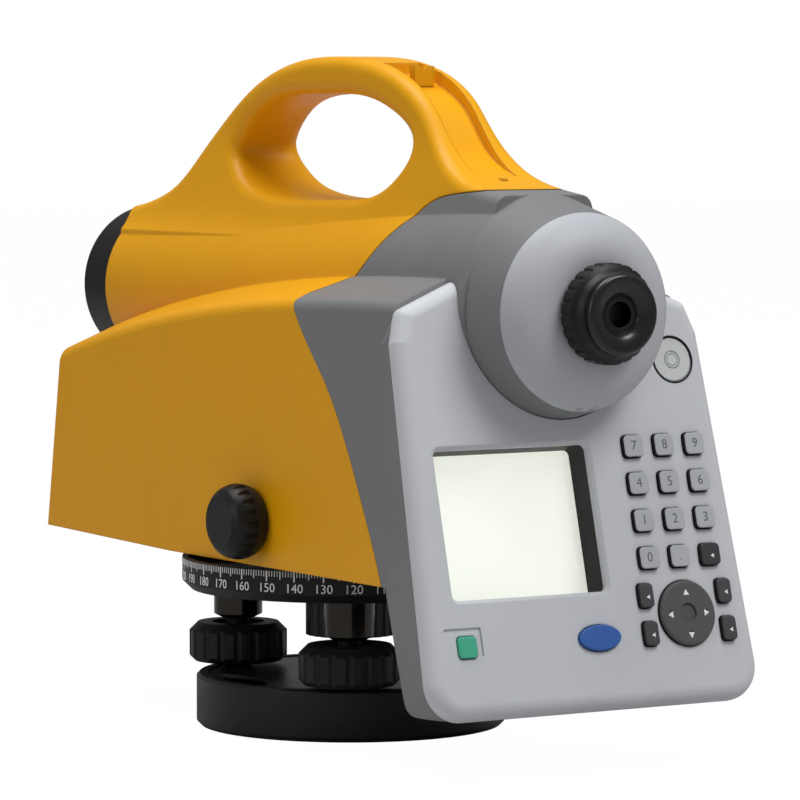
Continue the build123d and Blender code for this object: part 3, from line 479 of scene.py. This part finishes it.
def words(text, height, place, across, up):
    bpy.ops.object.select_all(action="DESELECT")
    bpy.ops.object.text_add()
    label = bpy.context.object
    label.data.body = text
    label.data.size = height
    label.data.extrude = print_depth / 2
    label.data.resolution_u = letter_steps
    label.data.align_x = "CENTER"
    label.data.align_y = "CENTER"
    bpy.ops.object.convert(target="MESH")
    piece = bpy.context.object
    lay_on(piece, place, across, up)
    return piece


def front_middle(name):
    """The middle of a key's front face, from the node's own points."""
    points = [vertex.co for vertex in nodes[name].data.vertices]
    front = reach(name)
    near = [point for point in points if front - point.dot(panel_out) < flat_enough]
    low = [min(point[axis] for point in near) for axis in range(3)]
    high = [max(point[axis] for point in near) for axis in range(3)]
    return (Vector(low) + Vector(high)) / 2


# %% Numbers on the keys
key_words = ("7", "8", "9", "4", "5", "6", "1", "2", "3", "0", ".")
digit_height = 0.0046
for index, text in enumerate(key_words):
    key = f"number_key_{index + 1}"
    label = words(text, digit_height, front_middle(key), panel_across, panel_up)
    finish_piece(label, f"print_{key}", grey_print, key)
print(len(key_words), "keys numbered")

# %% [markdown]
# The rocker has four small white arrowheads, and the dark keys a white sign each. An arrowhead is a
# cylinder with three sides, which is a flat triangle.

# %% Arrowheads and signs
arrow_radius = 0.0013
arrow_reach = 0.0069
arrow_thickness = 0.0008
arrow_sink = 0.0003
sign_radius = 0.0009
sign_shift = 0.0006


def triangle(radius, thickness, place, across, up):
    bpy.ops.object.select_all(action="DESELECT")
    bpy.ops.mesh.primitive_cylinder_add(vertices=3, radius=radius, depth=thickness)
    piece = bpy.context.object
    lay_on(piece, place, across, up)
    return piece


rocker_face = reach("rocker_key")
rocker_low, rocker_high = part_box("rocker_key")
rocker_middle = (Vector(rocker_low) + Vector(rocker_high)) / 2
rocker_middle += panel_out * (rocker_face - rocker_middle.dot(panel_out))
for index in range(4):
    turn = Matrix.Rotation(index * pi / 2, 3, panel_out)
    up = turn @ panel_up
    across = turn @ panel_across
    place = rocker_middle + up * arrow_reach - panel_out * arrow_sink
    arrow = triangle(arrow_radius, arrow_thickness, place, across, up)
    finish_piece(arrow, f"rocker_arrow_{index + 1}", white_print, "rocker")
signed_keys = ("number_key_12", "side_key_1", "side_key_2", "side_key_3", "side_key_4")
for key in signed_keys:
    place = front_middle(key) + (panel_across - panel_up) * sign_shift
    sign = triangle(sign_radius, print_depth, place, panel_up, -panel_across)
    finish_piece(sign, f"sign_{key}", white_print, key)
print("4 arrowheads and", len(signed_keys), "signs")

# %% [markdown]
# ## The horizontal circle's scale
#
# The black ring carries two rows of white marks: a tick for every degree, longer at each fifth and
# longest at each tenth, and under each tenth its number. The numbers grow clockwise, seen from
# above, as a bearing does. A number is a flat text that stands against the ring at its own angle,
# and a tick is a thin block. Hundreds of small pieces would be slow to handle, so the numbers are
# joined into one piece, and the ticks into another.

# %% Numbers and ticks round the ring
ring_low, ring_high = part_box("horizontal_circle")
ring_radius = (ring_high[0] - ring_low[0]) / 2
number_step = 10
number_height = 0.0044
number_drop = 0.0064
tick_drop = 0.0004
tick_top = ring_high[2] - tick_drop
upright = Vector((0.0, 0.0, 1.0))
tick_sizes = {10: (0.00050, 0.0036), 5: (0.00034, 0.0028), 1: (0.00024, 0.0020)}


def joined(pieces):
    bpy.ops.object.select_all(action="DESELECT")
    for piece in pieces:
        piece.select_set(True)
    bpy.context.view_layer.objects.active = pieces[0]
    bpy.ops.object.join()
    return bpy.context.object


def tick(out, along, width, height):
    bpy.ops.object.select_all(action="DESELECT")
    bpy.ops.mesh.primitive_cube_add(size=1.0)
    piece = bpy.context.object
    piece.scale = (width, height, print_depth * 2)
    bpy.ops.object.transform_apply(scale=True)
    lay_on(piece, out * ring_radius + upright * (tick_top - height / 2), along, upright)
    return piece


numbers = []
ticks = []
for degrees in range(360):
    angle = radians(-degrees)
    out = Vector((cos(angle), sin(angle), 0.0))
    along = Vector((-sin(angle), cos(angle), 0.0))
    step = max(size for size in tick_sizes if degrees % size == 0)
    ticks.append(tick(out, along, *tick_sizes[step]))
    if degrees % number_step == 0:
        place = out * ring_radius + upright * (ring_high[2] - number_drop)
        numbers.append(words(str(degrees), number_height, place, along, upright))
finish_piece(joined(numbers), "circle_numbers", white_print, "circle")
finish_piece(joined(ticks), "circle_ticks", white_print, "circle")
print(len(numbers), "numbers and", len(ticks), "ticks")

# %% [markdown]
# ## The circular level's window
#
# Under its window the level is a shallow dish of pale spirit. A black ring runs round it, a circle is
# drawn in its middle, and the air bubble's edge shows inside that. Each of the three is a thin
# torus, laid half into the window's face.

# %% Ring, circle and bubble
window_low, window_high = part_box("level_window")
window_middle = (Vector(window_low) + Vector(window_high)) / 2
window_face = reach("level_window")
window_middle += panel_out * (window_face - window_middle.dot(panel_out))
window_marks = (
    ("level_outline", 0.0078, 0.00045, 64, 12, bezel_skin),
    ("level_circle", 0.0029, 0.00014, 48, 8, grey_print),
    ("level_bubble_edge", 0.0020, 0.00010, 48, 8, grey_print),
)
for name, radius, thick, steps_round, steps_across, finish in window_marks:
    bpy.ops.object.select_all(action="DESELECT")
    bpy.ops.mesh.primitive_torus_add(major_radius=radius, minor_radius=thick,
                                     major_segments=steps_round, minor_segments=steps_across)
    mark = bpy.context.object
    lay_on(mark, window_middle, panel_across, panel_up)
    bpy.ops.object.shade_smooth()
    finish_piece(mark, name, finish, "alidade")
print(len(window_marks), "marks round the window's middle at", window_middle)

# %% [markdown]
# ## The eyepiece's cup and the barrel's sleeve
#
# The dioptre ring ends in a narrower cup with a rounded lip, which the eye comes close to. It is a
# circle, extruded backwards and inwards as one would on a lathe, so that its wall, lip and sloping
# face follow each other. The barrel's wall goes on for a short way behind the panel's upper corner.
# There a thin sleeve of the same moulding closes the slit between the two, made as an open circle
# that is extruded, widened a little and given its thickness by Solidify.

# %% Cup and sleeve
dioptre_low, dioptre_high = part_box("dioptre_ring")
sight_height = (dioptre_low[2] + dioptre_high[2]) / 2
cup_overlap = 0.0006
cup_start = dioptre_low[1] + cup_overlap
cup_steps = ((-0.0022, 1.0), (-0.0006, 0.965), (-0.0002, 0.90), (0.0010, 0.62), (0.0018, 0.42))
cup_radius = 0.0130
cup_wall = 0.0004
round_steps = 96
smooth_angle = radians(40)
sleeve_radius = 0.0341
sleeve_start = -0.1292
sleeve_steps = ((0.0142, 1.008),)
sleeve_wall = 0.0012


def lathe(radius, start, steps):
    """An open circle round the telescope's axis, extruded along it and resized step by step."""
    bpy.ops.object.select_all(action="DESELECT")
    bpy.ops.mesh.primitive_circle_add(vertices=round_steps, radius=radius,
                                      location=(0, start, sight_height), rotation=(pi / 2, 0, 0))
    piece = bpy.context.object
    bpy.ops.object.transform_apply(location=True, rotation=True, scale=True)
    bpy.ops.object.mode_set(mode="EDIT")
    bpy.ops.mesh.select_all(action="SELECT")
    reached = start
    size = 1.0
    for move, share in steps:
        reached += move
        bpy.ops.mesh.extrude_edges_move(TRANSFORM_OT_translate={"value": (0, move, 0)})
        bpy.ops.transform.resize(value=(share / size, 1, share / size),
                                 center_override=(0, reached, sight_height))
        size = share
    bpy.ops.mesh.select_all(action="SELECT")
    bpy.ops.mesh.normals_make_consistent(inside=False)
    bpy.ops.object.mode_set(mode="OBJECT")
    bpy.ops.object.shade_smooth_by_angle(angle=smooth_angle)
    return piece


def thicken(piece, wall):
    """Half of the wall goes to each side of the surface."""
    solid = piece.modifiers.new("wall", "SOLIDIFY")
    solid.thickness = wall
    solid.offset = 0.0
    bpy.ops.object.modifier_apply(modifier=solid.name)
    return piece


cup = thicken(lathe(cup_radius, cup_start, cup_steps), cup_wall)
finish_piece(cup, "eyepiece_cup", cup_rubber, "dioptre")
sleeve = thicken(lathe(sleeve_radius, sleeve_start, sleeve_steps), sleeve_wall)
finish_piece(sleeve, "barrel_sleeve", grey_skin, "alidade")
print("cup", len(cup.data.polygons), "faces, sleeve", len(sleeve.data.polygons), "faces")

# %% [markdown]
# ## The floor
#
# A plain white sheet far larger than the level. For the camera most of it is plain white light, so
# that it meets the background with no line, and the rest is lit, so that it takes the shadow.

# %% Floor
floor_size = 14.0
floor_gap = 0.0002
floor_glow = 1.09
glow_share = 0.90
bpy.ops.object.select_all(action="DESELECT")
bpy.ops.mesh.primitive_plane_add(size=floor_size, location=(0, 0, -floor_gap))
floor = bpy.context.object
floor.name = "studio_floor"
floor_finish = Finish("studio_floor", roughness=0.9)
seen = floor_finish.node("ShaderNodeLightPath", {}, out="Is Camera Ray")
glow = floor_finish.node("ShaderNodeEmission", {}, Color=(1, 1, 1, 1), Strength=floor_glow)
paper_noise = floor_finish.noise(40.0)
paper = floor_finish.mix(paper_noise, (0.44, 0.44, 0.44, 1), (0.50, 0.50, 0.50, 1))
floor_finish.set(Base_Color=paper)
blend = floor_finish.node("ShaderNodeMixShader", {}, seen * glow_share)
floor_finish.tree.links.new(floor_finish.shader.outputs[0], blend.socket.node.inputs[1])
floor_finish.tree.links.new(glow.socket, blend.socket.node.inputs[2])
output = floor_finish.tree.nodes["Material Output"]
floor_finish.tree.links.new(blend.socket, output.inputs["Surface"])
floor.data.materials.append(floor_finish.material)
print("floor", floor_size, "m wide")
